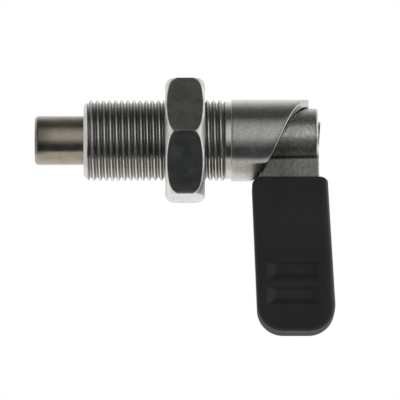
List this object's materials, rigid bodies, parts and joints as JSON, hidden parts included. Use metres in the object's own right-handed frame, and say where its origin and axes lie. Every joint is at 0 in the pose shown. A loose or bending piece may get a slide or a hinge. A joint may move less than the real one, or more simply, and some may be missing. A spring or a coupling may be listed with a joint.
{
  "type": "indexing plunger",
  "caption": "Cam-action indexing plunger: a lever with a black cover turns on a helical ramp and draws the sprung locking pin into its threaded body; a hexagon lock nut fixes it.",
  "frame": {"origin": "centre of the front face of the threaded body, on the pin's axis", "axes": "+X along the pin from its nose to the lever; the lever hangs along -Z with the pin out; -Y is the side over which the lever turns"},
  "size_m": [0.0736, 0.033, 0.0623],
  "materials": {
    "body_steel": "fine turned stainless steel",
    "nut_steel": "bright polished stainless steel",
    "pin_steel": "ground stainless steel, slightly brown from hardening",
    "spring_steel": "drawn spring wire",
    "cast_steel": "cast stainless steel, smoothed but still pebbly",
    "cover_plastic": "black moulded plastic with a fine grain"
  },
  "bodies": {
    "body": {"cam_body": "body_steel", "lock_nut": "nut_steel", "spring_bush": "body_steel", "pin_spring": "spring_steel"},
    "pin": {"locking_pin": "pin_steel"},
    "lever": {"lever": "cast_steel", "lever_cover": "cover_plastic"}
  },
  "joints": [
    {"name": "pin_slide", "type": "slide", "parent": "body", "child": "pin", "axis": [1, 0, 0], "range_m": [0, 0.014], "deforming": ["pin_spring"]},
    {"name": "lever_turn", "type": "hinge", "parent": "pin", "child": "lever", "pos_m": [0.05, 0, 0], "axis": [-1, 0, 0], "range_deg": [0, 180], "stiffness_Nm_per_rad": 0.0667, "springref_deg": -51.45}
  ],
  "couplings": [
    {"joint": "pin_slide", "follows": "lever_turn", "m_per_rad": 0.0044563}
  ]
}
